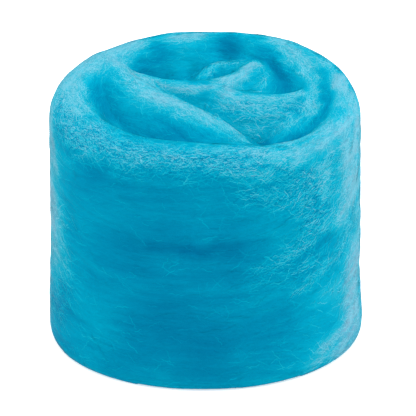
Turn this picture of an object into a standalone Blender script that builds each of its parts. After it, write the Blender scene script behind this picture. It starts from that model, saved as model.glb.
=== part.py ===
"""A roll of wool roving standing on its end.

One strip of carded wool, wound up on itself: the outer layer makes the round
wall and the soft rim, and the inner layers show at the top as rounded folds
with creases and hollows between them. The roll is a single closed solid.

Lengths in the tables are millimetres; the mesh is built in metres, +Z up, with
the origin at the middle of the flat underside. -Y is the front. Angles run
anticlockwise from +X, seen from above.
"""

from collections import namedtuple

import bmesh
import bpy
import numpy as np

MM = 0.001
NODE_NAME = "roving_roll"

# Driving sizes
ROLL_RADIUS = 30.95
ROLL_HEIGHT = 51.2
SHOULDER_DROP = 6.4  # how far the rim rounds down into the wall
SHOULDER_FULLNESS = 0.86  # 1 makes the shoulder a quarter ellipse, and less makes it squarer
HOLLOW_FLOOR = ROLL_HEIGHT - 9.5  # the deepest that a crease at the top reaches
CREASE_SOFTNESS = 0.35  # how gently two folds run together
FLANK_SLOPE = 1.25  # steepest fall of a fold's side, as drop over run

# Underside: flat, but for one shallow seam that spirals out between the turns
SEAM_START = 7.0  # radius of the plain flat middle
SEAM_END = 29.0
SEAM_PITCH = 7.5
SEAM_DEPTH = 0.9
SEAM_HALF_WIDTH = 2.4

# Mesh density
SPOKES = 104
TOP_RINGS = 26
SHOULDER_RINGS = 5
WALL_RINGS = 11
FOOT_RINGS = 3
UNDER_RINGS = 11

# The outer layer round its edge. crest_radius and crest_height place the top of
# the rim and inner_round is how round it is towards the middle. The wall has
# settled out to foot_radius at its lower edge, which foot_round rounds off.
Rim = namedtuple("Rim", "angle crest_radius crest_height inner_round foot_radius foot_round")
RIM = [
    Rim(0, 27.0, 50.9, 1.8, 31.3, 1.0),
    Rim(45, 26.4, 51.15, 2.4, 31.4, 1.5),
    Rim(90, 25.8, 51.0, 2.6, 31.2, 2.0),
    Rim(135, 25.2, 50.95, 3.0, 31.3, 1.5),
    Rim(180, 25.2, 51.2, 2.6, 30.7, 1.0),
    Rim(225, 24.8, 51.0, 2.4, 32.3, 0.9),
    Rim(270, 24.6, 51.2, 2.6, 31.3, 1.2),
    Rim(315, 27.2, 49.8, 1.8, 32.0, 1.0),
]

# The folds inside the rim. Each is a rounded ridge along a smooth path of
# (x, y, height) points; left and right are as seen along that path, and the
# roundings are crest radii, so a small one falls away steeply and a large one
# gently.
Fold = namedtuple("Fold", "name left_round right_round path")
FOLDS = [
    Fold("second_turn_left", 9.0, 3.0, [
        (8.0, -25.0, 49.8), (5.0, -17.0, 50.2), (-3.3, -6.1, 50.6),
        (-12.3, 2.7, 50.8), (-17.4, 9.6, 51.0), (-21.0, 19.0, 51.2)]),
    Fold("second_turn_back", 1.6, 3.4, [
        (-12.0, 21.8, 50.8), (-5.0, 23.8, 50.8), (1.0, 22.8, 50.2)]),
    Fold("second_turn_right", 1.3, 1.6, [
        (10.4, 22.4, 50.8), (18.0, 15.4, 50.6), (21.4, 3.5, 50.0), (21.2, -3.0, 49.4)]),
    Fold("second_turn_front", 1.3, 5.5, [
        (21.4, 0.5, 49.6), (20.3, -6.4, 48.9), (16.8, -12.4, 47.8), (11.5, -17.0, 46.2)]),
    Fold("back_swell", 1.8, 1.8, [
        (-4.0, 24.0, 49.4), (-4.6, 17.6, 47.4), (-4.4, 11.0, 44.6)]),
    Fold("inner_lip", 1.6, 2.2, [
        (-14.0, 10.6, 49.7), (-8.0, 7.9, 49.7), (-1.0, 7.0, 49.7), (5.4, 8.6, 49.9), (10.4, 15.2, 50.0)]),
    Fold("inner_end", 1.4, 1.4, [
        (-0.6, 11.6, 48.6), (2.2, 16.6, 49.0), (7.4, 18.0, 48.8)]),
    Fold("inner_core", 3.4, 2.2, [
        (10.2, 4.4, 48.3), (12.6, 8.8, 48.6), (12.9, 12.6, 48.4)]),
    Fold("inner_mound", 1.6, 6.0, [
        (3.4, 5.6, 49.2), (6.6, 3.0, 49.4), (10.6, 1.3, 49.5), (15.4, 0.8, 49.6), (19.8, 2.8, 49.7)]),
]

# Soft bands where the strip crosses the wall: their height at angle, how fast
# they climb per radian, their half width, the half span of angle that they
# cover, and how far they stand out, or lie back if negative.
Band = namedtuple("Band", "angle height climb half_width half_span relief")
BANDS = [
    Band(268, 31.6, 0.3, 1.8, 42, -0.75),
    Band(262, 38.0, -1.0, 3.6, 60, 0.30),
    Band(250, 26.0, 1.0, 2.8, 44, 0.25),
    Band(262, 15.4, 2.0, 2.2, 40, -0.35),
    Band(318, 32.0, 10.0, 3.2, 26, 0.35),
    Band(318, 19.0, 12.0, 2.2, 26, -0.40),
    Band(0, 12.4, 6.0, 2.6, 26, -0.35),
    Band(60, 33.0, 2.0, 3.0, 50, -0.55),
    Band(75, 23.0, -3.0, 4.0, 50, 0.40),
    Band(110, 12.0, 5.0, 2.6, 44, -0.45),
    Band(135, 40.0, 4.0, 2.6, 28, -0.40),
]


def around(angle, column):
    """A column of RIM at any angle, as a smooth closed curve through its rows."""
    values = np.array([getattr(row, column) for row in RIM], float)
    count = len(values)
    at = (np.degrees(angle) % 360.0) / (360.0 / count)
    first = np.floor(at).astype(int)
    share = at - first
    before, here, after, later = (values[(first + k) % count] for k in (-1, 0, 1, 2))
    return catmull_rom(before, here, after, later, share)


def catmull_rom(before, here, after, later, share):
    return here + 0.5 * share * (
        after - before
        + share * (2.0 * before - 5.0 * here + 4.0 * after - later
                   + share * (3.0 * (here - after) + later - before))
    )


def smooth_path(points, steps=24):
    """Closely spaced points on a smooth curve through the given ones."""
    knots = np.array(points, float)
    knots = np.vstack([2 * knots[0] - knots[1], knots, 2 * knots[-1] - knots[-2]])
    share = np.linspace(0.0, 1.0, steps, endpoint=False)[:, None]
    spans = [catmull_rom(*knots[i:i + 4], share) for i in range(len(knots) - 3)]
    return np.vstack([*spans, knots[-2:-1]])


def fall(distance, rounding):
    """Drop at a distance from a crest that is round on top and straight on its flanks."""
    reach = FLANK_SLOPE * rounding
    return FLANK_SLOPE * (np.hypot(distance, reach) - reach)


def fold_height(x, y, fold):
    """Height of one fold's rounded ridge over the points (x, y)."""
    path = smooth_path(fold.path)
    heading = np.gradient(path[:, :2], axis=0)
    heading /= np.linalg.norm(heading, axis=1, keepdims=True)
    dx = x[..., None] - path[:, 0]
    dy = y[..., None] - path[:, 1]
    nearest = np.argmin(dx * dx + dy * dy, axis=-1)
    dx = x - path[nearest, 0]
    dy = y - path[nearest, 1]
    distance = np.hypot(dx, dy)
    to_left = (heading[nearest, 0] * dy - heading[nearest, 1] * dx) / np.maximum(distance, 1e-9)
    rounding = fold.right_round + (fold.left_round - fold.right_round) * (0.5 + 0.5 * to_left)
    return path[nearest, 2] - fall(distance, rounding)


def top_height(x, y):
    """Height of the roll's top over the points (x, y) inside the rim's crest."""
    angle = np.arctan2(y, x)
    inward = around(angle, "crest_radius") - np.hypot(x, y)
    rim = around(angle, "crest_height") - fall(inward, around(angle, "inner_round"))
    surfaces = [rim, np.full_like(x, HOLLOW_FLOOR)]
    surfaces += [fold_height(x, y, fold) for fold in FOLDS]
    stacked = np.array(surfaces) / CREASE_SOFTNESS
    highest = stacked.max(axis=0)
    return CREASE_SOFTNESS * (highest + np.log(np.exp(stacked - highest).sum(axis=0)))


def wall_radius(angle, height):
    """Radius of the wall, with its spread at the foot and its bands."""
    share = np.clip(height / ROLL_HEIGHT, 0.0, 1.0)
    radius = ROLL_RADIUS + (around(angle, "foot_radius") - ROLL_RADIUS) * (1.0 - share) ** 1.5
    for band in BANDS:
        turn = (angle - np.radians(band.angle) + np.pi) % (2 * np.pi) - np.pi
        across = (height - band.height - band.climb * turn) / band.half_width
        along = turn / np.radians(band.half_span)
        radius = radius + band.relief * np.exp(-across ** 2 - along ** 4)
    return radius


def under_height(angle, radius):
    """Height of the underside: flat, but for the seam between the turns."""
    turns = (radius - SEAM_START) / SEAM_PITCH - angle / (2 * np.pi)
    away = (turns - np.round(turns)) * SEAM_PITCH
    fade_in = np.clip((radius - SEAM_START) / SEAM_PITCH, 0.0, 1.0)
    fade_out = np.clip((SEAM_END - radius) / SEAM_HALF_WIDTH, 0.0, 1.0)
    hollow = np.clip(1.0 - (away / SEAM_HALF_WIDTH) ** 2, 0.0, 1.0)
    return SEAM_DEPTH * fade_in * fade_out * hollow


def ring(radius, angle, height):
    return np.stack([radius * np.cos(angle), radius * np.sin(angle), height + 0.0 * angle], axis=1)


def rings():
    """The roll's rings of points, from just off the middle of the top to just
    off the middle of the underside."""
    angle = np.arange(SPOKES) * 2 * np.pi / SPOKES
    crest_radius = around(angle, "crest_radius")
    found = []
    for step in range(1, TOP_RINGS + 1):
        radius = crest_radius * step / TOP_RINGS
        found.append(ring(radius, angle, top_height(radius * np.cos(angle), radius * np.sin(angle))))
    crest_height = found[-1][:, 2]
    foot_round = around(angle, "foot_round")
    wall_top = crest_height - SHOULDER_DROP
    for step in range(1, SHOULDER_RINGS + 1):
        lean = 0.5 * np.pi * step / SHOULDER_RINGS
        out = np.sin(lean) ** SHOULDER_FULLNESS
        up = max(np.cos(lean), 0.0) ** SHOULDER_FULLNESS
        height = crest_height - SHOULDER_DROP * (1.0 - up)
        outer = wall_radius(angle, height)
        found.append(ring(crest_radius + (outer - crest_radius) * out, angle, height))
    for step in range(1, WALL_RINGS + 1):
        height = wall_top + (foot_round - wall_top) * step / WALL_RINGS
        found.append(ring(wall_radius(angle, height), angle, height))
    for step in range(1, FOOT_RINGS + 1):
        lean = 0.5 * np.pi * step / FOOT_RINGS
        height = foot_round * (1.0 - np.sin(lean))
        found.append(ring(wall_radius(angle, foot_round) - foot_round * (1.0 - np.cos(lean)), angle, height))
    foot_radius = np.hypot(found[-1][:, 0], found[-1][:, 1])
    for step in range(1, UNDER_RINGS):
        radius = foot_radius * (1.0 - step / UNDER_RINGS)
        found.append(ring(radius, angle, under_height(angle, radius)))
    return found


def roll_mesh(name):
    """The closed mesh: the rings bridged one to the next, with a fan at each end."""
    mesh = bmesh.new()
    rows = [[mesh.verts.new(point * MM) for point in points] for points in rings()]
    middle_height = float(top_height(np.zeros(1), np.zeros(1))[0])
    top_middle = mesh.verts.new((0.0, 0.0, middle_height * MM))
    under_middle = mesh.verts.new((0.0, 0.0, 0.0))
    for k in range(SPOKES):
        following = (k + 1) % SPOKES
        mesh.faces.new((top_middle, rows[0][k], rows[0][following]))
        mesh.faces.new((under_middle, rows[-1][following], rows[-1][k]))
        for upper, lower in zip(rows, rows[1:]):
            mesh.faces.new((upper[k], lower[k], lower[following], upper[following]))
    bmesh.ops.triangulate(mesh, faces=mesh.faces[:], quad_method="SHORT_EDGE")
    data = bpy.data.meshes.new(name)
    mesh.to_mesh(data)
    mesh.free()
    data.shade_smooth()
    return data


def wool_material():
    """Soft matt wool, dyed turquoise."""
    material = bpy.data.materials.new("wool")
    material.use_nodes = True
    shader = material.node_tree.nodes["Principled BSDF"]
    shader.inputs["Base Color"].default_value = (0.004, 0.34, 0.56, 1.0)
    shader.inputs["Roughness"].default_value = 0.95
    shader.inputs["Metallic"].default_value = 0.0
    return material


def main():
    for obj in list(bpy.data.objects):
        bpy.data.objects.remove(obj, do_unlink=True)
    data = roll_mesh(NODE_NAME)
    data.materials.append(wool_material())
    roll = bpy.data.objects.new(NODE_NAME, data)
    bpy.context.scene.collection.objects.link(roll)


main()
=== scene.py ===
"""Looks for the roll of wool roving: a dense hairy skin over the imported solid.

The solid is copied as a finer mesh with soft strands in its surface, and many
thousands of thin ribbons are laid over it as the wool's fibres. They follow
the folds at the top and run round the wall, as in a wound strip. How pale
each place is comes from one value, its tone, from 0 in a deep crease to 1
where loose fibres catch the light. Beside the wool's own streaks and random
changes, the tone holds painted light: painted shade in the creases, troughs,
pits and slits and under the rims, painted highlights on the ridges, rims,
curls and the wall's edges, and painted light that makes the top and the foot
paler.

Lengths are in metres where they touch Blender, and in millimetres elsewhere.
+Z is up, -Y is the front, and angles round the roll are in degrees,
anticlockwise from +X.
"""

from collections import namedtuple
from itertools import product

import bpy
import numpy as np
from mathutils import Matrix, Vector
from mathutils.bvhtree import BVHTree


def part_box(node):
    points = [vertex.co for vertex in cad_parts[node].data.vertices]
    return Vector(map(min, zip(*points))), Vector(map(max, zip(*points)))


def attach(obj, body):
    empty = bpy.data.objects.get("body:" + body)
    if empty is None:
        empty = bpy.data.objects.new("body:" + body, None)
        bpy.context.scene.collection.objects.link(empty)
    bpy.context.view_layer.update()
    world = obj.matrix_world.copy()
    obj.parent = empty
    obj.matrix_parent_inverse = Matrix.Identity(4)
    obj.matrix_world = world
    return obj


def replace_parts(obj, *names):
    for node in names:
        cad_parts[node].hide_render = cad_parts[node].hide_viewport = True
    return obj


NODE = "roving_roll"
MM = 0.001

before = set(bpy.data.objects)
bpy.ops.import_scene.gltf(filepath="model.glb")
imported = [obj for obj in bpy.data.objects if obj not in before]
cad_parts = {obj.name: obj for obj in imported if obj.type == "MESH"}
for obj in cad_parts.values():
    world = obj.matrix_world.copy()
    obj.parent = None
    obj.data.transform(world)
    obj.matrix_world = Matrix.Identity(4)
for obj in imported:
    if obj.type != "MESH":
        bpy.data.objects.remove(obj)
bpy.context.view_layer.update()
low, high = (np.array(corner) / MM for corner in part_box(NODE))
HEIGHT = high[2]
RADIUS = (high[0] - low[0]) / 2
RIM_RADIUS = 0.82 * RADIUS  # where the rim is highest
SHOULDER = 6.4  # how far the rim rounds down into the wall
FOOT_ROUND = 1.2
TINY = 1e-9  # keeps divisors off 0
NOISE_GAIN = 1.6  # brings smooth noise out to about -1 and 1

# Where one part of the roll passes into the next, and how gradually
TOP_EDGE = 29.0  # outside this radius the fibres simply run round the roll
TOP_FIBRES_EDGE = 29.5
BANDS_EDGE = 26.0  # the wall's bands keep outside this radius
BANDS_DROP = 2.0  # and this far below the top
CURLS_DROP = 4.0  # the top's curls reach down this far below the top
INNER_RADIUS = 25.5
UNDERSIDE = 1.0  # below this height is the roll's underside
FADE = 2.0
WIDE_FADE = 3.0
RELIEF_FADE = 1.5

# Body mesh
SPOKES = 360
RING_GAP = 0.52
FOOT_STEPS = 4
UNDER_GAP = 3 * RING_GAP
RAY_START = 8.0  # how far outside a plain roll the rays at the solid begin
FLOOR_REACH = 0.05  # points of the solid lower than this rest on the floor
SMOOTHING_PASSES = 14
SMOOTHING = 0.125  # how far each pass draws a point towards its neighbours
INNER_SMOOTHING = 0.375  # how much further it does so on the folds inside INNER_RADIUS
SUNK = 0.06  # how far the body lies inside the solid, to leave room for the fibres

# Maps over the top
MAP_HALF = 32.0
MAP_RAY_START = 5.0  # how far above the top the rays begin
DEEPEST = 14.0  # the map goes no further down, and every hollow is shallower
HEIGHT_BLUR = 0.5
RIDGE_BLUR = 2.6  # ridges are what stands out from the height blurred this much
RIDGE_HEIGHT = 1.2

# Flow of the fibres
FLOW_CELL = 0.5
FLOW_BLUR = 1.7
STEEPEST = 1.2  # steeper slopes sway the flow no more than this
ROUND_PULL = 0.12  # a slope added everywhere, so that wool on flat places runs round the roll
WANDER = np.radians(7.0)  # about how far the fibres stray from the flow
TURNING = 0.25  # a fibre turns by this share of its kind's spread at each step
STREAK_STEP = 0.6  # how far apart a streak reads its noise, in sizes of the noise

# Strands raised in the body: how far one runs, how wide it is, its seed, its
# relief at the top, and how much of that it loses on the wall.
Strand = namedtuple("Strand", "reach size seed relief loss")
BROAD = Strand(8.0, 2.2, 41, 0.09, 0.06)
NARROW = Strand(5.0, 0.8, 42, 0.05, 0.03)
BROAD_SHARE = 0.5  # how much the broad strands show in the tone beside the narrow ones

# Smooth noise: its size, how much it does, and a seed for each direction it acts in
Noise = namedtuple("Noise", "size amount seeds")
STRAYS = [Noise(7.0, 1.0, [21]), Noise(2.5, 0.6, [22])]  # of the flow, in shares of WANDER
RAGGED = Noise(2.6, 0.6, [32, 33, 34])  # of a band's edge, in millimetres
DRIFT = Noise(9.0, 0.3, [35, 36])  # of a wall band's course, in its half widths
CLOUDS = Noise(7.0, 0.035, [31])  # of the tone

# Tone: the plain wall's, and what is added to it. The top's is painted light, as lit from above,
# the ridges' a painted highlight, and the foot's painted light against the shade where the roll
# meets the floor
BASE_TONE = 0.34
TOP_PAINTED_LIGHT = 0.10
RIDGE_PAINTED_HIGHLIGHT = 0.05
FOOT_PAINTED_LIGHT = 0.08
FOOT_REACH = 1.8  # how far up the foot's tone reaches
# Paler where the strands are raised, more on the top and in pale bands: partly the strands' own
# streaky tone, partly painted light on their relief
STRAND_TONE = 0.018
TOP_STRAND_TONE = 0.014
PALE_STRAND_TONE = 0.07
CURL_SHADE = 0.09  # how much darker the wool is under its thickest curls
OWN_TONES = (-0.20, 0.58)  # how far a fibre's tone may be from the wool's under it
STRAY_TONE = 0.3  # how much of its own tone a curl keeps where curls are few

# How thickly fibres grow away from the bands and under the roll, where about 1 is
# the thickest
LAID_UNDER = 0.35
TOP_CURLS = 0.03
WALL_CURLS = 0.02
CURLS_UNDER = 0.01
WISPS = 0.25
WISPS_UNDER = 0.15
CROWDING = 1.5  # the power that draws curls together in the middle of their bands

# How the fibres of a kind differ: the least and the most, as shares of the kind's own
WIDTHS = (0.7, 1.3)
WAVES = (0.4, 1.3)
WAVE_LENGTHS = (0.7, 1.4)
BOB_LENGTH = 1.7  # a fibre rises and dips once in so many waves of its crimp
BOB_PHASE = 2.1
ARCH_SPAN = (0.02, 0.98)  # leaves a fibre's ends a little of its arch
FIRST_SEED = 100

# Camera: straight on to the front, above it, far off so that it's nearly parallel
CAMERA_ELEVATION = np.radians(26.7)
CAMERA_LENS = 700.0
CAMERA_SENSOR = 36.0
CAMERA_REACH = 20.0  # in metres
FRAME_WIDTH = 82.93  # what the picture's width takes in at the roll
AIM = (0.6, 0.0, 24.9)

# Studio, in metres and watts
FLOOR_HALF = 3.0
PAPER = (0.76, 0.76, 0.76)
PAPER_GLOW = 0.52
WHITE = (1.0, 1.0, 1.0)
SURROUND = 1.1
MATT = 0.9  # roughness of the wool and of the paper
Lamp = namedtuple("Lamp", "name place size power")
LAMPS = [
    Lamp("lamp_above", (0.03, -0.08, 0.69), 0.35, 3.2),
    Lamp("lamp_right", (0.55, 0.20, 0.20), 0.35, 1.6),
    Lamp("lamp_left", (-0.55, 0.20, 0.20), 0.30, 0.85),
]
LAMPS_AIM = (0.0, 0.0, 0.03)

# Colours of the dyed wool, by tone, from painted shade at the low end to whiter painted highlight
# at the high end. Loose curls catch more light than what they lie on, so theirs are painted paler.
TONES = [
    (0.00, (0.0002, 0.090, 0.208)),
    (0.30, (0.0002, 0.182, 0.311)),
    (0.50, (0.0002, 0.266, 0.393)),
    (0.64, (0.0070, 0.292, 0.408)),
    (0.80, (0.0580, 0.283, 0.394)),
    (1.00, (0.1450, 0.300, 0.406)),
]
PAINTED_PALER_CURL_TONES = [
    (0.00, (0.0002, 0.090, 0.208)),
    (0.30, (0.0002, 0.182, 0.311)),
    (0.50, (0.0002, 0.272, 0.396)),
    (0.64, (0.0070, 0.322, 0.432)),
    (0.80, (0.0440, 0.342, 0.448)),
    (1.00, (0.1250, 0.372, 0.472)),
]

# Finishes: the shades, how far fine noise varies the tone, how much further it does
# so where curls are thick, the noise's size, and the relief that it gives
MOTTLE_DETAIL = 2.0
MOTTLE_DISTORTION = 1.2
Finish = namedtuple("Finish", "shades mottle loose_mottle size relief")
FELT = Finish(TONES, 0.05, 0.15, 0.4, 0.10)
LAID = Finish(TONES, 0.03, 0.15, 0.4, 0.0)
# The loose curls take the paler colours, a painted highlight
LOOSE = Finish(PAINTED_PALER_CURL_TONES, 0.05, 0.08, 0.5, 0.0)

# The bloom of fine hairs seen edge on: faint on the top, and whiter round the wall
Sheen = namedtuple("Sheen", "weight roughness tint")
TOP_SHEEN = Sheen(0.06, 0.50, (0.02, 0.75, 1.0))
WALL_SHEEN = Sheen(0.20, 0.25, (0.80, 0.95, 1.0))

# Soft bands along paths, where the wool is paler or darker or where loose curls
# grow: each one's half width, by how much the tone changes, and how thick the
# curls are, up to 1. The pale bands are painted highlights where loose fibres
# catch the light, on the ridges, rims and folds, the wall's edges and its fuzzy
# patches, and painted light near the foot; the curls that grow in them are real
# fibres. The dark bands in the troughs, pits and slits, under the rims and low on
# the front are painted shade. The top's paths are of (x, y), the wall's of
# (angle, height). Where pale bands meet, the palest counts, and where dark ones
# meet, the darkest.
Band = namedtuple("Band", "name half_width change curls path")
TOP_BANDS = [
    Band("long_fold", 2.8, 0.33, 0.5, [
        (-17.3, 16.4), (-15.6, 10.5), (-14.2, 5.1), (-12.6, 1.7), (-11.0, -0.7), (-9.0, -2.8),
        (-7.0, -4.5), (-5.0, -5.9), (-3.0, -8.0), (-1.0, -9.7), (1.0, -10.9), (3.0, -12.8),
        (4.6, -14.6),
    ]),
    Band("long_fold_start", 3.0, 0.36, 0.5, [(-16.0, 13.0), (-12.6, 7.6), (-10.6, 3.6)]),
    Band("long_fold_end", 1.8, 0.20, 0.6, [(4.6, -14.6), (6.2, -17.2), (7.4, -19.4)]),
    Band("left_rim", 4.2, 0.42, 0.6, [
        (-15.5, 20.0), (-18.8, 17.0), (-22.1, 13.7), (-24.5, 10.1), (-26.3, 5.9), (-28.1, 2.3),
        (-29.6, -0.3),
    ]),
    Band("rim_junction", 3.0, 0.50, 0.4, [(-20.5, 18.5), (-17.5, 13.0)]),
    Band("left_outer_rim", 3.6, 0.47, 0.4, [
        (-30.3, -9.0), (-30.3, -5.0), (-30.1, -2.0), (-29.0, 2.8), (-27.7, 6.7), (-24.9, 12.2),
        (-21.5, 17.0), (-17.9, 21.0), (-14.6, 23.6),
    ]),
    Band("left_rim_curls", 4.2, 0.11, 1.0, [
        (-26.9, 2.1), (-28.5, -3.8), (-28.1, -9.0), (-25.9, -14.5), (-22.9, -19.2),
    ]),
    Band("left_rim_middle", 2.6, 0.36, 0.8, [(-25.5, 3.0), (-26.2, -4.0), (-24.8, -8.4)]),
    Band("front_rim", 3.2, 0.10, 1.0, [
        (-22.9, -15.6), (-20.1, -20.9), (-16.1, -24.4), (-11.1, -26.8), (-5.0, -28.4),
        (1.0, -28.5), (7.0, -27.4), (11.0, -26.3),
    ]),
    Band("front_shoulder", 1.8, 0.18, 0.9, [
        (-16.5, -24.6), (-11.6, -27.2), (-5.3, -29.1), (1.0, -29.6), (6.0, -29.1), (11.0, -27.8),
    ]),
    Band("right_rim_back", 2.2, 0.21, 0.6, [(25.4, 8.6), (23.6, 12.6)]),
    Band("shoulder_patch", 1.6, 0.30, 0.9, [(7.4, -29.3), (11.4, -28.3)]),
    Band("right_rim_start", 2.0, 0.39, 0.7, [(10.6, -26.6), (13.8, -25.6), (17.8, -23.0)]),
    Band("right_rim", 2.8, 0.50, 0.5, [
        (18.0, -23.6), (20.2, -21.6), (24.4, -17.0), (27.9, -10.5), (29.0, -4.6), (28.4, 0.6),
        (26.6, 6.0),
    ]),
    Band("right_outer_rim", 3.0, 0.62, 0.5, [(28.4, 1.5), (29.5, -4.5), (29.4, -9.5)]),
    Band("inner_ring", 1.7, 0.33, 0.5, [
        (13.4, 23.2), (15.0, 21.0), (16.7, 18.7), (18.5, 15.4), (20.1, 11.5), (21.1, 7.4),
        (21.7, 2.8), (21.5, -1.8), (20.7, -5.5),
    ]),
    Band("arm_start", 1.8, 0.34, 0.4, [(-13.0, 5.8), (-11.0, 6.7), (-8.0, 6.3), (-5.0, 5.5)]),
    Band("arm", 1.5, 0.41, 0.5, [
        (-5.0, 5.5), (-2.0, 5.2), (1.0, 5.8), (3.4, 6.6), (5.4, 7.7), (7.2, 9.7), (8.6, 11.8),
        (10.0, 14.0),
    ]),
    Band("arm_front", 2.0, 0.42, 0.5, [(3.4, 2.3), (4.6, 4.1), (5.8, 6.5)]),
    Band("mound_crest", 1.8, 0.21, 0.6, [
        (3.8, 0.6), (6.2, 0.1), (9.0, -0.1), (12.0, -0.7), (15.0, -0.8), (17.1, -0.1), (19.1, 1.4),
    ]),
    Band("mound", 2.6, 0.10, 0.9, [
        (5.4, -1.4), (9.0, -2.6), (13.0, -3.4), (16.9, -3.6), (19.5, -2.8),
    ]),
    Band("mound_low", 3.0, 0.16, 0.6, [(6.0, -5.6), (12.0, -7.0), (17.4, -7.5)]),
    Band("bump", 1.2, 0.08, 0.6, [(0.4, 12.6), (1.6, 15.2), (3.4, 17.2), (6.2, 18.0)]),
    Band("core", 1.0, 0.12, 0.5, [(10.6, 5.6), (12.2, 9.7), (13.0, 13.0)]),
    Band("pit_wall", 3.2, 0.08, 0.1, [(-5.0, 21.2), (-4.2, 19.5), (-3.0, 16.0)]),
    Band("back_patch", 2.0, 0.26, 0.5, [(-6.8, 23.4), (-4.4, 24.0), (-2.2, 24.8), (-1.0, 25.5)]),
    Band("back_rim", 2.2, 0.19, 0.5, [(22.0, 18.0), (12.0, 26.0), (0.0, 28.5), (-6.0, 27.6)]),
    # pit_left, pit_back and pit_right are painted shade in the pit, right_trough and left_trough
    # painted shade in the troughs
    Band("pit_left", 3.0, -0.24, 0.0, [(-12.6, 16.8), (-11.2, 18.7), (-9.8, 20.4)]),
    Band("pit_back", 2.4, -0.28, 0.0, [(4.6, 24.6), (4.6, 23.0), (4.8, 21.8)]),
    Band("pit_right", 1.8, -0.21, 0.0, [
        (11.4, 18.8), (13.0, 16.8), (14.4, 14.7), (15.7, 11.3), (16.1, 8.8),
    ]),
    Band("valley", 2.4, 0.16, 0.2, [(-6.0, 3.2), (-2.4, 1.8), (1.6, -0.6), (4.0, -4.0)]),
    Band("right_trough", 1.6, -0.18, 0.0, [
        (23.7, 9.4), (24.5, 5.0), (24.9, -0.1), (24.1, -4.4), (22.5, -8.4),
        (20.1, -12.0), (16.9, -16.0), (13.4, -17.0), (11.4, -13.0),
    ]),
    Band("left_trough", 2.6, -0.12, 0.0, [
        (-22.9, 5.4), (-21.9, 1.9), (-20.3, -0.8), (-18.1, -4.3), (-15.0, -7.8),
        (-11.0, -10.8), (-5.0, -14.4), (0.0, -17.1),
    ]),
]
WALL_BANDS = [
    Band("right_shoulder", 2.8, 0.34, 0.6, [(317, 44), (319, 40)]),
    Band("right_zone", 8.5, 0.12, 0.95, [(308, 41), (314, 34), (311, 29)]),
    Band("far_right_zone", 6.6, 0.58, 0.8, [(334, 45), (337, 40), (337, 35)]),
    Band("upper_streak", 1.6, 0.24, 0.6, [(341, 35.5), (333, 33.5), (327, 32), (320, 31.3)]),
    Band("dark_streak", 1.1, -0.09, 0.0, [(343, 30.6), (330, 28.3), (317, 27.4), (305, 26)]),
    # below_right_rim is painted shade under the rim
    Band("below_right_rim", 1.0, -0.19, 0.0, [
        (306, 45.6), (313, 46.1), (323, 47.0), (330, 47.2), (338, 47.1),
    ]),
    Band("low_patch", 3.4, 0.29, 0.6, [(345, 28), (334, 25)]),
    Band("right_streak", 1.6, 0.18, 0.7, [(335, 24.5), (323, 22.9), (312, 20.5), (302, 18.6)]),
    Band("under_right_rim", 3.6, 0.15, 0.7, [(288, 41), (298, 40), (308, 39)]),
    # right_edge, right_edge_low, left_edge and left_shoulder are painted highlights on the wall's
    # edges
    Band("right_edge", 8.0, 0.36, 0.6, [(348, 48), (349, 38)]),
    Band("right_edge_low", 4.8, 0.42, 0.5, [(350, 27), (351, 22)]),
    Band("low_right", 9.0, 0.60, 0.4, [(342, 16), (337, 12), (338, 6)]),
    Band("low_right_end", 3.4, 0.36, 0.4, [(330, 7), (321, 5), (313, 3.4)]),
    Band("low_right_mid", 4.6, 0.12, 0.05, [(297, 20), (305, 18), (314, 15)]),
    Band("left_edge", 8.0, 0.60, 0.5, [(191, 34), (191, 24)]),
    Band("left_shoulder", 6.0, 0.52, 0.5, [(184, 47), (187, 38)]),
    Band("left_low_edge", 5.0, 0.20, 0.1, [(185, 13), (187, 2)]),
    Band("left_curls", 5.0, 0.04, 0.4, [(198, 34), (206, 24), (204, 10)]),
    # The slit bands, under_rim, left_dark, below_slit and low_front are painted shade, in and
    # beside the slit, under the rim and darker towards the bottom of the front
    Band("slit", 1.4, -0.29, 0.0, [(261, 30.9), (272, 30.8)]),
    Band("slit_mid", 2.2, -0.21, 0.0, [(250, 31.1), (266, 30.8), (283, 31.0)]),
    Band("slit_ends", 2.4, -0.12, 0.0, [(232, 30.6), (250, 30.9), (276, 30.9), (294, 31.2)]),
    Band("slit_below", 2.2, -0.10, 0.0, [(240, 24.5), (252, 25.5), (266, 25)]),
    Band("under_rim", 2.2, -0.08, 0.0, [(224, 43), (245, 42.4), (258, 42)]),
    Band("below_front_rim", 2.4, 0.12, 0.5, [(238, 47.6), (252, 48.2), (266, 48)]),
    Band("left_dark", 3.5, -0.08, 0.0, [(231, 29), (235, 26), (242, 23), (256, 21)]),
    Band("below_slit", 3.5, -0.08, 0.0, [(243, 25), (262, 26), (282, 26)]),
    Band("front_mid", 4.0, -0.03, 0.1, [(252, 35), (275, 36), (300, 33)]),
    Band("low_front", 9.5, -0.13, 0.0, [(251, 11), (268, 13), (286, 7)]),
    Band("low_left", 6.5, 0.10, 0.0, [(203, 17), (216, 18), (224, 12), (234, 10)]),
    Band("low_left_foot", 4.0, 0.08, 0.1, [(200, 4), (214, 3), (232, 2.5), (250, 2)]),
    Band("low_right_foot", 5.0, 0.14, 0.1, [(286, 4), (302, 6), (314, 9)]),
    Band("back_zone", 6.0, 0.26, 1.0, [(48, 34), (70, 30), (84, 31)]),
    Band("back_low", 3.4, 0.26, 0.6, [(100, 6), (125, 12), (142, 20)]),
    Band("back_slit", 1.8, -0.22, 0.0, [(88, 41), (112, 39), (135, 40)]),
    Band("far_slit", 1.5, -0.20, 0.0, [(15, 12), (34, 14), (52, 13)]),
]

# Where the fibres on the wall climb to the right, or fall where the degrees are below 0
Lean = namedtuple("Lean", "angle height half_angle half_height degrees")
LEANS = [
    Lean(326, 27, 24, 15, 19.0),
    Lean(318, 43, 20, 8, 16.0),
    Lean(215, 30, 22, 12, -5.0),
    Lean(70, 24, 24, 12, 12.0),
    Lean(130, 34, 24, 10, -9.0),
]

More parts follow.
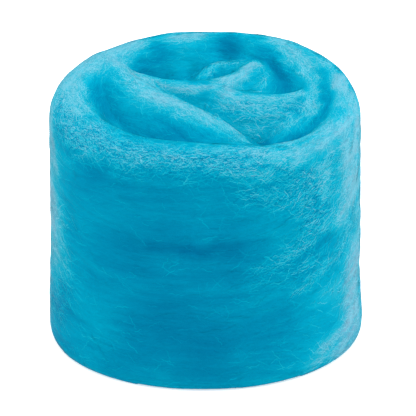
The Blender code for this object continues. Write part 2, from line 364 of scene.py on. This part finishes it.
# Places where the wool stands out further than the solid, by up to amount
Fuller = namedtuple("Fuller", "angle height half_angle half_height amount")
FULLER = [
    Fuller(184, 6, 30, 9, 0.35),
    Fuller(212, 1, 28, 4, 0.38),
    Fuller(337, 1, 26, 4, 0.42),
    Fuller(62, 50, 22, 4, 0.35),
]

# Kinds of fibre. where names the weight that says where they grow, steps is
# the number of straight parts in each, length is the least and the most, spread
# is how far they turn from the flow in degrees, wave and wave_length are their
# crimp, roll is how far they twist in degrees, rest is how far off the surface
# they lie, lift is how much further they arch, and tone and tone_spread are how
# much paler they are than the wool under them and how much that differs. The
# curls' and wisps' paler tone is a painted highlight, where loose fibres catch the light.
Kind = namedtuple(
    "Kind",
    "name where count steps length width spread wave wave_length roll rest lift tone tone_spread",
)
KINDS = [
    Kind(
        "wall_fibres", "wall", count=19000, steps=6, length=(6.0, 14.0), width=0.095, spread=5,
        wave=0.07, wave_length=5.0, roll=6, rest=0.015, lift=0.01, tone=0.0, tone_spread=0.019,
    ),
    Kind(
        "top_fibres", "top", count=15000, steps=6, length=(3.0, 8.0), width=0.085, spread=9,
        wave=0.08, wave_length=3.5, roll=5, rest=0.006, lift=0.01, tone=0.0, tone_spread=0.045,
    ),
    Kind(
        "top_curls", "top_curls", count=16000, steps=7, length=(1.6, 3.8), width=0.120, spread=34,
        wave=0.15, wave_length=1.2, roll=8, rest=0.012, lift=0.03, tone=0.22, tone_spread=0.32,
    ),
    Kind(
        "wall_curls", "wall_curls", count=14000, steps=7, length=(1.6, 4.2), width=0.135, spread=28,
        wave=0.14, wave_length=1.3, roll=8, rest=0.015, lift=0.03, tone=0.19, tone_spread=0.23,
    ),
    Kind(
        "wisps", "all", count=300, steps=11, length=(5.0, 11.0), width=0.060, spread=30,
        wave=0.30, wave_length=4.0, roll=20, rest=0.02, lift=0.20, tone=0.16, tone_spread=0.08,
    ),
]


# ---------------------------------------------------------------- small tools


def smooth_noise(points, size, seed):
    """Values from about -1 to 1 that change smoothly over a distance of size."""
    period = 32
    lattice = np.random.default_rng(seed).uniform(-1.0, 1.0, (period,) * 3)
    at = np.asarray(points) / size
    cell = np.floor(at).astype(int)
    share = at - cell
    share = share * share * (3.0 - 2.0 * share)
    total = np.zeros(at.shape[:-1])
    for corner in product((0, 1), repeat=3):
        index = (cell + corner) % period
        weight = np.prod(np.where(corner, share, 1.0 - share), axis=-1)
        total += weight * lattice[index[..., 0], index[..., 1], index[..., 2]]
    return total * NOISE_GAIN


def noises(points, noise):
    """A column of smooth noise for each of its seeds."""
    return np.stack([smooth_noise(points, noise.size, seed) for seed in noise.seeds], axis=-1)


def unit(vectors):
    """The vectors, each brought to a length of 1."""
    length = np.linalg.norm(vectors, axis=-1, keepdims=True)
    return vectors / np.maximum(length, TINY)


def rise(distance, width):
    """From 0 to 1 as the distance grows from 0 to the width."""
    return np.clip(distance / width, 0.0, 1.0)


def blurred(grid, sigma):
    """A grid of values smoothed by a Gaussian of sigma cells along its two axes."""
    reach = int(3 * sigma) + 1
    kernel = np.exp(-0.5 * (np.arange(-reach, reach + 1) / sigma) ** 2)
    kernel /= kernel.sum()
    for axis in (0, 1):
        padding = [(reach, reach) if a == axis else (0, 0) for a in (0, 1)]
        padded = np.pad(grid, padding, mode="edge")
        size = grid.shape[axis]
        grid = sum(
            k * np.take(padded, np.arange(i, i + size), axis=axis) for i, k in enumerate(kernel)
        )
    return grid


class TopMap:
    """Values on a square grid over the roll, read at any (x, y) by blending the four nearest."""

    def __init__(self, cell, half):
        self.cell = cell
        self.half = half
        self.line = np.arange(-half, half + cell / 2, cell)
        self.x, self.y = np.meshgrid(self.line, self.line, indexing="ij")

    def read(self, grid, x, y):
        """The grid's values at the places (x, y)."""
        last = len(self.line) - 2
        at_x = np.clip((x + self.half) / self.cell, 0, last + 0.999)
        at_y = np.clip((y + self.half) / self.cell, 0, last + 0.999)
        i, j = at_x.astype(int), at_y.astype(int)
        u, v = at_x - i, at_y - j
        low_side = grid[i, j] * (1 - v) + grid[i, j + 1] * v
        high_side = grid[i + 1, j] * (1 - v) + grid[i + 1, j + 1] * v
        return low_side * (1 - u) + high_side * u


def tree_of(points, faces):
    """The faces as a tree for casting rays and finding nearest places."""
    return BVHTree.FromPolygons(points.tolist(), faces.tolist())


def tree_of_cad():
    """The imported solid, in millimetres, as a tree that rays can be cast at."""
    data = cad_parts[NODE].data
    points = np.empty(len(data.vertices) * 3)
    data.vertices.foreach_get("co", points)
    data.calc_loop_triangles()
    faces = np.empty(len(data.loop_triangles) * 3, int)
    data.loop_triangles.foreach_get("vertices", faces)
    return tree_of(points.reshape(-1, 3) / MM, faces.reshape(-1, 3))


def hits(tree, starts, headings, missing):
    """Where each ray first meets the tree, or its place in missing."""
    found = missing.copy()
    for i, (start, heading) in enumerate(zip(starts, headings)):
        place = tree.ray_cast(Vector(start), Vector(heading))[0]
        if place is not None:
            found[i] = place
    return found


# ------------------------------------------------------------------- the body


def profile():
    """Points and outward directions down a plain rounded section of the roll:
    out over the top, round the shoulder, down the wall, under the foot and back
    to the middle. Each row is (radius, height, outward, upward)."""
    wall_top = HEIGHT - SHOULDER
    shoulder_width = RADIUS - RIM_RADIUS
    rows = []
    count = round(RIM_RADIUS / RING_GAP)
    rows += [(RIM_RADIUS * k / count, HEIGHT, 0.0, 1.0) for k in range(1, count + 1)]
    count = round(np.pi / 2 * SHOULDER / RING_GAP)
    for turn in np.linspace(0.0, np.pi / 2, count, endpoint=False)[1:]:
        out, up = np.sin(turn), np.cos(turn)
        rows.append((RIM_RADIUS + shoulder_width * out, wall_top + SHOULDER * up, out, up))
    count = round((wall_top - FOOT_ROUND) / RING_GAP)
    rows += [(RADIUS, z, 1.0, 0.0) for z in np.linspace(wall_top, FOOT_ROUND, count)]
    for turn in np.linspace(0.0, np.pi / 2, FOOT_STEPS + 1)[1:]:
        out, down = np.cos(turn), np.sin(turn)
        rows.append((RADIUS - FOOT_ROUND * (1 - out), FOOT_ROUND * (1 - down), out, -down))
    count = round(RADIUS / UNDER_GAP)
    rows += [((RADIUS - FOOT_ROUND) * (1 - k / count), 0.0, 0.0, -1.0) for k in range(1, count)]
    return np.array(rows)


def skin_points(tree):
    """The solid's surface on a grid of rings and spokes, in millimetres, smoothed
    so that the solid's flat facets don't show."""
    rows = profile()
    angle = np.arange(SPOKES) * 2 * np.pi / SPOKES
    around = np.stack([np.cos(angle), np.sin(angle), np.zeros(SPOKES)], axis=-1)
    up = np.array([0.0, 0.0, 1.0])
    base = rows[:, None, 0:1] * around + rows[:, None, 1:2] * up
    outward = rows[:, None, 2:3] * around + rows[:, None, 3:4] * up
    start = base + RAY_START * outward
    points = hits(tree, start.reshape(-1, 3), -outward.reshape(-1, 3), base.reshape(-1, 3))
    points = points.reshape(base.shape)
    touching = points[:, :, 2] < FLOOR_REACH
    facing_up = rows[:, 3] > 0.5
    inside = rise(INNER_RADIUS - rows[:, 0], FADE) * facing_up
    softness = (SMOOTHING + INNER_SMOOTHING * inside)[1:-1, None, None]
    for _ in range(SMOOTHING_PASSES):
        sides = np.roll(points, 1, axis=1) + np.roll(points, -1, axis=1)
        ends = points[:-2] + points[2:]
        points[1:-1] += softness * (0.25 * (sides[1:-1] + ends) - points[1:-1])
    points[touching, 2] = 0.0
    return points


def grid_faces(rings, spokes):
    """Four-cornered faces of a closed grid of rings, then a fan's triangles at each end.
    The last two points are the middles of the fans."""
    ring, spoke = np.meshgrid(np.arange(rings - 1), np.arange(spokes), indexing="ij")
    following = (spoke + 1) % spokes
    upper, lower = ring * spokes, (ring + 1) * spokes
    quads = np.stack([upper + spoke, lower + spoke, lower + following, upper + following], axis=-1)
    spoke = np.arange(spokes)
    following = (spoke + 1) % spokes
    last = (rings - 1) * spokes
    middle = rings * spokes
    top_fan = np.stack([np.full(spokes, middle), spoke, following], axis=-1)
    under_fan = np.stack([np.full(spokes, middle + 1), last + following, last + spoke], axis=-1)
    return quads.reshape(-1, 4), np.concatenate([top_fan, under_fan])


def grid_normals(points):
    """Outward directions at a grid's points."""
    round_way = np.roll(points, -1, axis=1) - np.roll(points, 1, axis=1)
    down_way = np.gradient(points, axis=0)
    return unit(np.cross(down_way, round_way))


def turn_between(angle, other):
    """How far anticlockwise angle is from other, in degrees from -180 to 180."""
    return (angle - other + 180.0) % 360.0 - 180.0


def lean(points):
    """How far the wall's fibres turn from level at each point, in radians."""
    x, y, z = np.moveaxis(points, -1, 0)
    angle = np.degrees(np.arctan2(y, x))
    total = np.zeros_like(angle)
    for place in LEANS:
        along = turn_between(angle, place.angle) / place.half_angle
        up = (z - place.height) / place.half_height
        total += np.radians(place.degrees) * np.exp(-(along**2) - up**2)
    return total * (np.hypot(x, y) > TOP_EDGE - 1)


def nearness(points, path, half_width):
    """From 0 to 1, how near each point is to a path."""
    nearest = np.full(len(points), np.inf)
    for start, end in zip(path[:-1], path[1:]):
        run = end - start
        share = np.clip((points - start) @ run / (run @ run), 0.0, 1.0)
        gap = points - start - share[:, None] * run
        nearest = np.minimum(nearest, np.linalg.norm(gap, axis=-1))
    return np.exp(-((nearest / half_width) ** 2))


class Surface:
    """The solid's height and flow as maps over the top, and its plain wall."""

    def __init__(self, tree):
        self.map = TopMap(FLOW_CELL, MAP_HALF)
        x, y = self.map.x.ravel(), self.map.y.ravel()
        start = np.stack([x, y, np.full_like(x, HEIGHT + MAP_RAY_START)], axis=-1)
        floor = np.stack([x, y, np.full_like(x, HEIGHT - DEEPEST)], axis=-1)
        down = np.broadcast_to([0.0, 0.0, -1.0], start.shape)
        height = hits(tree, start, down, floor)[:, 2].reshape(self.map.x.shape)
        self.height = blurred(np.maximum(height, HEIGHT - DEEPEST), HEIGHT_BLUR / FLOW_CELL)
        self.flow = self.flow_from(*np.gradient(self.height, FLOW_CELL))
        self.stands_out = self.height - blurred(self.height, RIDGE_BLUR / FLOW_CELL)

    def flow_from(self, slope_x, slope_y):
        """The lie of the fibres as the doubled angle's cosine and sine. They lie level,
        across the slope, and the slopes on both sides of a ridge agree on that."""
        steep = np.hypot(slope_x, slope_y)
        weight = np.minimum(1.0, STEEPEST / np.maximum(steep, TINY))
        slope_x, slope_y = slope_x * weight, slope_y * weight
        radius = np.maximum(np.hypot(self.map.x, self.map.y), TINY)
        out_x, out_y = ROUND_PULL * self.map.x / radius, ROUND_PULL * self.map.y / radius
        sigma = FLOW_BLUR / FLOW_CELL
        cosine = blurred(slope_x**2 - slope_y**2 + out_x**2 - out_y**2, sigma)
        sine = blurred(2 * slope_x * slope_y + 2 * out_x * out_y, sigma)
        length = np.maximum(np.hypot(cosine, sine), TINY)
        return -cosine / length, -sine / length

    def level_way(self, points):
        """The level direction along which fibres lie at each point."""
        x, y = points[..., 0], points[..., 1]
        radius = np.maximum(np.hypot(x, y), TINY)
        round_cos, round_sin = (y**2 - x**2) / radius**2, -2 * x * y / radius**2
        on_top = rise(TOP_EDGE - radius, FADE) * (points[..., 2] > HEIGHT / 2)
        cosine = on_top * self.map.read(self.flow[0], x, y) + (1 - on_top) * round_cos
        sine = on_top * self.map.read(self.flow[1], x, y) + (1 - on_top) * round_sin
        angle = 0.5 * np.arctan2(sine, cosine)
        return np.stack([np.cos(angle), np.sin(angle), np.zeros_like(angle)], axis=-1)

    def way(self, points, normals, turn=0.0):
        """The fibres' direction in the surface, wandering a little and turned by turn."""
        level = self.level_way(points)
        level = unit(level - (level * normals).sum(-1, keepdims=True) * normals)
        across = np.cross(normals, level)
        stray = WANDER * sum(noise.amount * noises(points, noise)[..., 0] for noise in STRAYS)
        angle = (stray + lean(points) + turn)[..., None]
        return level * np.cos(angle) + across * np.sin(angle)


def onward(way, heading):
    """The way, turned about where it would lead back against the heading."""
    agree = np.sign((way * heading).sum(-1, keepdims=True))
    return way * np.where(agree == 0, 1.0, agree)


def streaks(surface, points, normals, strand):
    """Noise drawn out along the flow, so that it looks like strands. Each point
    sums the noise that it meets going both ways along the flow."""
    step = STREAK_STEP * strand.size
    total = smooth_noise(points, strand.size, strand.seed)
    first = surface.way(points, normals)
    radius = np.maximum(np.hypot(points[:, 0], points[:, 1]), TINY)
    walled = (radius > TOP_EDGE) | (points[:, 2] < HEIGHT / 2)
    for sign in (1.0, -1.0):
        at, heading = points.copy(), sign * first
        for _ in range(int(strand.reach / step)):
            at = at + step * heading
            shrink = radius / np.maximum(np.hypot(at[:, 0], at[:, 1]), TINY)
            at[walled, :2] *= shrink[walled, None]
            top = surface.map.read(surface.height, at[:, 0], at[:, 1])
            at[~walled, 2] = top[~walled]
            heading = onward(surface.way(at, normals), heading)
            total = total + smooth_noise(at, strand.size, strand.seed)
    return total / total.std()


def band_shares(surface, points):
    """Each band with how much of it there is at each point, from 0 to 1."""
    x, y, z = points.T
    ragged = RAGGED.amount * noises(points, RAGGED)
    drift = noises(points, DRIFT)
    for band in TOP_BANDS:
        path = np.array(band.path, float)
        height = surface.map.read(surface.height, path[:, 0], path[:, 1])
        path = np.column_stack([path, height])
        yield band, nearness(points + ragged, path, band.half_width)
    wall = rise(HEIGHT - BANDS_DROP - z, WIDE_FADE) * (np.hypot(x, y) > BANDS_EDGE)
    angle = np.degrees(np.arctan2(y, x))
    for band in WALL_BANDS:
        path = np.array(band.path, float)
        first = path[0, 0]
        flat = np.column_stack([np.radians(turn_between(angle, first)) * RADIUS, z])
        path[:, 0] = np.radians(turn_between(path[:, 0], first)) * RADIUS
        bent = flat + ragged[:, :2] + DRIFT.amount * band.half_width * drift
        yield band, wall * nearness(bent, path, band.half_width)


def tone_and_curls(surface, points, strands):
    """How pale the wool is, with its painted shade and highlights, and how thick its loose curls
    are at each point, from 0 to 1.
    """
    x, y, z = points.T
    paler, darker, curls = np.zeros((3, len(points)))
    for band, share in band_shares(surface, points):
        curls = np.maximum(curls, band.curls * share)
        if band.change > 0:
            paler = np.maximum(paler, band.change * share)
        else:
            darker = np.minimum(darker, band.change * share)
            curls = curls * (1.0 - share)
    on_top = rise(TOP_EDGE - np.hypot(x, y), WIDE_FADE) * (z > HEIGHT / 2)
    ridge = np.clip(surface.map.read(surface.stands_out, x, y) / RIDGE_HEIGHT, -1.0, 1.0)
    # Painted light: the top paler as lit from above, and its ridges paler still, a painted
    # highlight
    tone = BASE_TONE + paler + darker + on_top * (TOP_PAINTED_LIGHT + RIDGE_PAINTED_HIGHLIGHT * ridge)
    # Painted light at the foot, against the shade where the roll meets the floor
    tone = tone + FOOT_PAINTED_LIGHT * np.exp(-((z / FOOT_REACH) ** 2))
    tone = tone + CLOUDS.amount * noises(points, CLOUDS)[:, 0]
    # Partly the strands' own streaky tone, partly painted light on their raised relief
    tone = tone + (STRAND_TONE + TOP_STRAND_TONE * on_top + PALE_STRAND_TONE * paler) * strands
    tone = tone - CURL_SHADE * curls
    return np.clip(tone, 0.0, 1.0), np.clip(curls, 0.0, 1.0)


Body = namedtuple("Body", "points normals tone curls quads fans")


def fullness(points):
    """How much further than the solid the wool stands out at each point."""
    angle = np.degrees(np.arctan2(points[:, 1], points[:, 0])) % 360.0
    return sum(
        place.amount
        * np.exp(-(((angle - place.angle) / place.half_angle) ** 2))
        * np.exp(-(((points[:, 2] - place.height) / place.half_height) ** 2))
        for place in FULLER
    )


def make_body(tree, surface):
    """The skin's points with soft strands raised on them, their directions and tones."""
    grid = skin_points(tree)
    rings = len(grid)
    normals = grid_normals(grid).reshape(-1, 3)
    points = grid.reshape(-1, 3)
    broad = streaks(surface, points, normals, BROAD)
    narrow = streaks(surface, points, normals, NARROW)
    off_floor = rise(points[:, 2], FADE)
    walled = rise(np.hypot(points[:, 0], points[:, 1]) - TOP_EDGE, RELIEF_FADE)
    sideways = np.hypot(*normals.T[:2])
    fuller = fullness(points) * np.where(normals[:, 2] < 0.0, sideways, 1.0)
    relief = (BROAD.relief - BROAD.loss * walled) * broad
    relief = relief + (NARROW.relief - NARROW.loss * walled) * narrow
    raised = fuller + off_floor * relief
    points = points + (raised - SUNK * off_floor)[:, None] * normals
    normals = grid_normals(points.reshape(grid.shape)).reshape(-1, 3)
    tone, curls = tone_and_curls(surface, points, BROAD_SHARE * broad + narrow)

    def with_middles(values):
        return np.concatenate([values, [values[:SPOKES].mean(0), values[-SPOKES:].mean(0)]])

    quads, fans = grid_faces(rings, SPOKES)
    columns = (points, normals, tone, curls)
    return Body(*(with_middles(values) for values in columns), quads, fans)


# ----------------------------------------------------------------- the fibres


def triangles_of(body):
    """All of the body's faces as triangles."""
    parts = [body.quads[:, [0, 1, 2]], body.quads[:, [0, 2, 3]], body.fans]
    return np.concatenate(parts)


def growing_weights(body):
    """For each kind of place, how densely fibres grow at each of the body's points."""
    x, y, z = body.points.T
    radius = np.hypot(x, y)
    top = rise(TOP_FIBRES_EDGE - radius, FADE) * (z > HEIGHT / 2)
    under = z < UNDERSIDE
    raised = rise(z - HEIGHT + CURLS_DROP, FADE)
    crowded = body.curls**CROWDING
    return {
        "wall": np.where(under, LAID_UNDER, 1.0) * (1.0 - top),
        "top": top,
        "top_curls": raised * (TOP_CURLS + crowded),
        "wall_curls": (1.0 - raised) * np.where(under, CURLS_UNDER, WALL_CURLS + crowded),
        "all": np.where(under, WISPS_UNDER, WISPS + body.curls),
    }


def scatter(body, triangles, weights, count, rng):
    """Places picked at random on the body, thicker where the weights are larger, as the
    triangle that each is in and the shares of its three corners."""
    corners = body.points[triangles]
    area = 0.5 * np.linalg.norm(
        np.cross(corners[:, 1] - corners[:, 0], corners[:, 2] - corners[:, 0]), axis=-1
    )
    chance = np.cumsum(area * weights[triangles].mean(1))
    chosen = np.searchsorted(chance, rng.uniform(0, chance[-1], count))
    a, b = rng.uniform(size=(2, count))
    fold = a + b > 1
    a[fold], b[fold] = 1 - a[fold], 1 - b[fold]
    return chosen, np.stack([1 - a - b, a, b], axis=-1)


class Skin:
    """The body's surface, for finding the nearest place on it."""

    def __init__(self, body):
        self.body = body
        self.triangles = triangles_of(body)
        self.tree = tree_of(body.points, self.triangles)
        self.directions = unit(body.normals[self.triangles].mean(1))
        self.tones = body.tone[self.triangles].mean(1)
        self.curls = body.curls[self.triangles].mean(1)

    def nearest(self, points):
        """The nearest places on the surface and the triangles they are in."""
        places = np.empty_like(points)
        index = np.empty(len(points), int)
        for i, point in enumerate(points):
            places[i], _, index[i], _ = self.tree.find_nearest(Vector(point))
        return places, index


def fibre_paths(skin, surface, kind, weights, rng):
    """Paths of one kind of fibre: their points, and the surface's triangles there."""
    count = kind.count
    chosen, shares = scatter(skin.body, skin.triangles, weights, count, rng)
    corners = skin.body.points[skin.triangles[chosen]]
    at = (corners * shares[..., None]).sum(1)
    index = chosen
    turn = rng.normal(0.0, np.radians(kind.spread), count)
    length = rng.uniform(*kind.length, count)
    step = length / kind.steps
    sign = rng.choice([-1.0, 1.0], count)
    heading = sign[:, None] * surface.way(at, skin.directions[index], turn)
    points, places = [at], [index]
    for _ in range(kind.steps):
        at, index = skin.nearest(at + step[:, None] * heading)
        turn = turn + rng.normal(0.0, np.radians(kind.spread) * TURNING, count)
        heading = onward(surface.way(at, skin.directions[index], turn), heading)
        points.append(at)
        places.append(index)
    return np.stack(points, 1), np.stack(places, 1), length


def crimped(points, normals, length, kind, rng):
    """The paths with their crimp and their arch off the surface."""
    count, places = points.shape[:2]
    share = np.linspace(0.0, 1.0, places)
    along = unit(np.gradient(points, axis=1))
    across = np.cross(normals, along)
    phase = rng.uniform(0, 2 * np.pi, (count, 1))
    run = share * length[:, None]
    wave_length = kind.wave_length * rng.uniform(*WAVE_LENGTHS, (count, 1))
    sway = np.sin(2 * np.pi * run / wave_length + phase)
    sway = kind.wave * rng.uniform(*WAVES, (count, 1)) * sway
    arch = kind.lift * rng.uniform(0.0, 1.0, (count, 1)) ** 2
    bob = 0.5 + 0.5 * np.sin(2 * np.pi * run / (BOB_LENGTH * wave_length) + BOB_PHASE * phase)
    off = kind.rest + arch * bob * np.sin(np.pi * np.clip(share, *ARCH_SPAN)) ** 0.5
    return points + across * sway[..., None] + normals * off[..., None]


def ribbons(points, normals, width, roll):
    """Flat tapering ribbons along the paths: their corners, quads and tip triangles."""
    count, places = points.shape[:2]
    along = unit(np.gradient(points, axis=1))
    side = unit(np.cross(normals, along))
    side = side * np.cos(roll) + np.cross(along, side) * np.sin(roll)
    half = 0.5 * width * side
    left, right = points + half, points - half
    inner = np.stack([left[:, 1:-1], right[:, 1:-1]], axis=2).reshape(count, -1, 3)
    corners = np.concatenate([points[:, :1], inner, points[:, -1:]], axis=1)
    each = corners.shape[1]
    first = np.arange(count)[:, None] * each
    rung = first + 1 + 2 * np.arange(places - 3)[None]
    quads = np.stack([rung, rung + 1, rung + 3, rung + 2], axis=-1).reshape(-1, 4)
    tips = np.stack(
        [first, first + 2, first + 1, first + each - 3, first + each - 2, first + each - 1],
        axis=-1,
    ).reshape(-1, 3)
    place_of = np.concatenate([[0], np.repeat(np.arange(1, places - 1), 2), [places - 1]])
    return corners.reshape(-1, 3), quads, tips, place_of


# ---------------------------------------------------------- meshes and colour


def mesh_from(name, points, quads, triangles):
    """A smooth mesh, in metres, from arrays of corners, quads and triangles."""
    data = bpy.data.meshes.new(name)
    data.vertices.add(len(points))
    data.vertices.foreach_set("co", (points * MM).astype(np.float32).ravel())
    corners = np.concatenate([quads.ravel(), triangles.ravel()]).astype(np.int32)
    data.loops.add(len(corners))
    data.loops.foreach_set("vertex_index", corners)
    sizes = np.concatenate([np.full(len(quads), 4), np.full(len(triangles), 3)])
    starts = np.concatenate([[0], np.cumsum(sizes)[:-1]]).astype(np.int32)
    data.polygons.add(len(sizes))
    data.polygons.foreach_set("loop_start", starts)
    data.update(calc_edges=True)
    data.validate()
    data.shade_smooth()
    return data


def add_values(data, **columns):
    """Named values at the mesh's points, for its material to read."""
    for name, values in columns.items():
        layer = data.attributes.new(name, "FLOAT", "POINT")
        layer.data.foreach_set("value", values.astype(np.float32))


def piece(data, material):
    """One piece of the looks, which rides on the part's one body."""
    data.materials.append(material)
    obj = bpy.data.objects.new(data.name, data)
    bpy.context.scene.collection.objects.link(obj)
    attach(obj, "root")
    return obj


def wool(name, finish, sheen):
    """Dyed wool: its tone, which carries painted shade and highlights, picks the colour, and fine
    noise varies it, more where curls grow.
    """
    material = bpy.data.materials.new(name)
    material.use_nodes = True
    nodes, links = material.node_tree.nodes, material.node_tree.links
    shader = nodes["Principled BSDF"]
    shader.inputs["Roughness"].default_value = MATT
    shader.inputs["Specular IOR Level"].default_value = 0.0
    shader.inputs["Sheen Weight"].default_value = sheen.weight
    shader.inputs["Sheen Roughness"].default_value = sheen.roughness
    shader.inputs["Sheen Tint"].default_value = (*sheen.tint, 1.0)

    def math(operation, *values):
        node = nodes.new("ShaderNodeMath")
        node.operation = operation
        for socket, value in zip(node.inputs, values):
            if isinstance(value, float):
                socket.default_value = value
            else:
                links.new(value, socket)
        return node.outputs["Value"]

    def attribute(name):
        node = nodes.new("ShaderNodeAttribute")
        node.attribute_name = name
        return node.outputs["Fac"]

    place = nodes.new("ShaderNodeTexCoord")
    noise = nodes.new("ShaderNodeTexNoise")
    noise.inputs["Scale"].default_value = 1.0 / (finish.size * MM)
    noise.inputs["Detail"].default_value = MOTTLE_DETAIL
    noise.inputs["Distortion"].default_value = MOTTLE_DISTORTION
    links.new(place.outputs["Object"], noise.inputs["Vector"])
    amount = math("MULTIPLY_ADD", attribute("curls"), finish.loose_mottle, finish.mottle)
    swing = math("MULTIPLY_ADD", noise.outputs["Fac"], 2.0, -1.0)
    tone = math("MULTIPLY_ADD", swing, amount, attribute("tone"))
    ramp = nodes.new("ShaderNodeValToRGB")
    stops = ramp.color_ramp.elements
    while len(stops) < len(finish.shades):
        stops.new(0.5)
    for stop, (position, colour) in zip(stops, finish.shades):
        stop.position = position
        stop.color = (*colour, 1.0)
    links.new(tone, ramp.inputs["Fac"])
    links.new(ramp.outputs["Color"], shader.inputs["Base Color"])
    if finish.relief:
        relief = nodes.new("ShaderNodeBump")
        relief.inputs["Strength"].default_value = 1.0
        relief.inputs["Distance"].default_value = finish.relief * MM
        links.new(noise.outputs["Fac"], relief.inputs["Height"])
        links.new(relief.outputs["Normal"], shader.inputs["Normal"])
    return material


# ------------------------------------------------------------------- assembly


def lay_fibres(kind, rng, skin, surface, weights, materials):
    """All the fibres of one kind, as one piece."""
    points, places, length = fibre_paths(skin, surface, kind, weights[kind.where], rng)
    normals = skin.directions[places]
    points = crimped(points, normals, length, kind, rng)
    width = kind.width * rng.uniform(*WIDTHS, (kind.count, 1, 1))
    roll = rng.normal(0.0, np.radians(kind.roll), (kind.count, 1, 1))
    corners, quads, tips, place_of = ribbons(points, normals, width, roll)
    curls = skin.curls[places][:, place_of]
    own = rng.normal(kind.tone, kind.tone_spread, (kind.count, 1))
    own = np.clip(own, *OWN_TONES)
    # A curl's paler tone is a painted highlight, where the loose fibre catches the light
    if kind.tone:
        own = own * (STRAY_TONE + (1.0 - STRAY_TONE) * curls)
    tone = skin.tones[places][:, place_of] + own
    data = mesh_from(kind.name, corners, quads, tips)
    add_values(data, tone=np.clip(tone, 0.0, 1.0).ravel(), curls=curls.ravel())
    place = "wall" if kind.where.startswith("wall") else "top"
    piece(data, materials[place, "loose" if kind.tone else "laid"])


def dress():
    """The body and its fibres, each piece with its material."""
    tree = tree_of_cad()
    surface = Surface(tree)
    body = make_body(tree, surface)
    data = mesh_from("wool_body", body.points, body.quads, body.fans)
    add_values(data, tone=body.tone, curls=body.curls)
    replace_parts(piece(data, wool("wool_felt", FELT, TOP_SHEEN)), NODE)
    skin = Skin(body)
    weights = growing_weights(body)
    materials = {}
    for place, sheen in (("top", TOP_SHEEN), ("wall", WALL_SHEEN)):
        materials[place, "laid"] = wool(f"wool_{place}_laid", LAID, sheen)
        materials[place, "loose"] = wool(f"wool_{place}_loose", LOOSE, sheen)
    for seed, kind in enumerate(KINDS):
        rng = np.random.default_rng(FIRST_SEED + seed)
        lay_fibres(kind, rng, skin, surface, weights, materials)


# --------------------------------------------------------------------- studio


def light_all_round(scene):
    """A soft white light from everywhere."""
    world = bpy.data.worlds.new("surround")
    world.use_nodes = True
    background = world.node_tree.nodes["Background"]
    background.inputs["Color"].default_value = (*WHITE, 1.0)
    background.inputs["Strength"].default_value = SURROUND
    scene.world = world


def lay_floor(scene):
    """A wide pale floor, which glows so that it shows nearly white."""
    data = bpy.data.meshes.new("floor")
    half = FLOOR_HALF
    corners = [(-half, -half, 0.0), (half, -half, 0.0), (half, half, 0.0), (-half, half, 0.0)]
    data.from_pydata(corners, [], [(0, 1, 2, 3)])
    paper = bpy.data.materials.new("paper")
    paper.use_nodes = True
    shader = paper.node_tree.nodes["Principled BSDF"]
    shader.inputs["Base Color"].default_value = (*PAPER, 1.0)
    shader.inputs["Roughness"].default_value = MATT
    shader.inputs["Emission Color"].default_value = (*WHITE, 1.0)
    shader.inputs["Emission Strength"].default_value = PAPER_GLOW
    data.materials.append(paper)
    floor = bpy.data.objects.new("floor", data)
    scene.collection.objects.link(floor)


def hang_lamps(scene):
    """Broad lamps above and at the sides, turned to the roll."""
    for lamp in LAMPS:
        light = bpy.data.lights.new(lamp.name, "AREA")
        light.size = lamp.size
        light.energy = lamp.power
        obj = bpy.data.objects.new(lamp.name, light)
        obj.location = lamp.place
        obj.rotation_euler = (Vector(LAMPS_AIM) - obj.location).to_track_quat("-Z", "Y").to_euler()
        scene.collection.objects.link(obj)


def place_camera(scene):
    """The camera at the photo's viewing angle."""
    camera = bpy.data.cameras.new("camera")
    camera.lens = CAMERA_LENS
    camera.sensor_width = CAMERA_SENSOR
    camera.clip_end = CAMERA_REACH
    back = Vector((0.0, -np.cos(CAMERA_ELEVATION), np.sin(CAMERA_ELEVATION)))
    obj = bpy.data.objects.new("camera", camera)
    obj.location = Vector(AIM) * MM + back * (FRAME_WIDTH * MM * CAMERA_LENS / CAMERA_SENSOR)
    obj.rotation_euler = (-back).to_track_quat("-Z", "Y").to_euler()
    scene.collection.objects.link(obj)
    scene.camera = obj


def studio():
    """The light, floor, lamps and camera."""
    scene = bpy.context.scene
    scene.view_settings.view_transform = "Standard"
    light_all_round(scene)
    lay_floor(scene)
    hang_lamps(scene)
    place_camera(scene)


dress()
studio()
